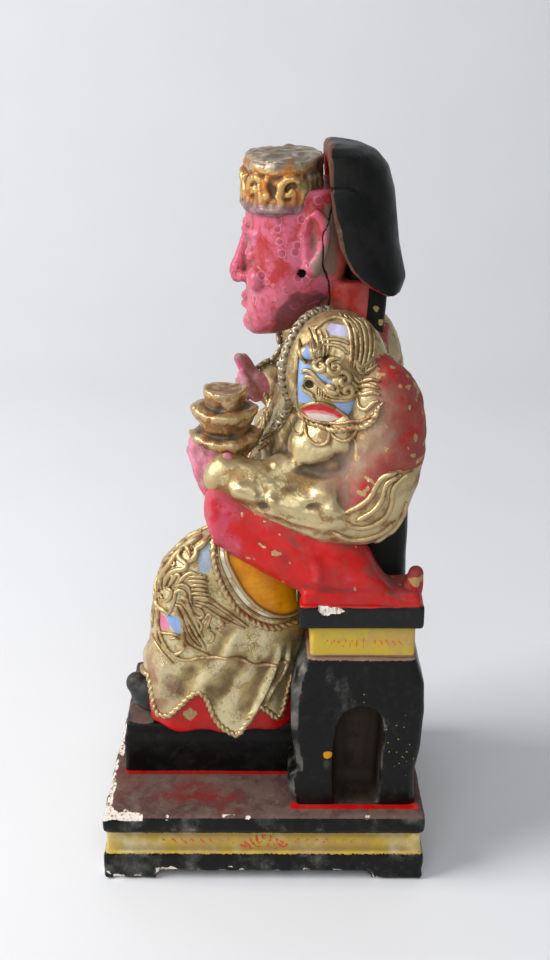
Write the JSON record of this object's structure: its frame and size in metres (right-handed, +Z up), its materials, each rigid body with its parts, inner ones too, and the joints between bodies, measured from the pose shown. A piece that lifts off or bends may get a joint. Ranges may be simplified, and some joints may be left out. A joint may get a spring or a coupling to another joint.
{
  "type": "carved wooden seated deity figure",
  "caption": "Painted and gilt wooden figure of a robed deity seated on a throne, holding a tiered offering, with its footrest and plinth carved from one block and a hood behind the cap.",
  "frame": {"origin": "centre of the object's footprint, at the underside of the plinth's feet", "axes": "+Z up; the figure faces -Y; its left side is +X"},
  "size_m": [0.092, 0.104, 0.23],
  "materials": {
    "gilt_and_lacquered_wood": "worn gilding, red and black lacquer over gesso",
    "black_lacquered_wood": "worn black lacquer, red inside"
  },
  "bodies": {
    "root": {"carved_figure": "gilt_and_lacquered_wood", "hat_hood": "black_lacquered_wood"}
  },
  "joints": []
}
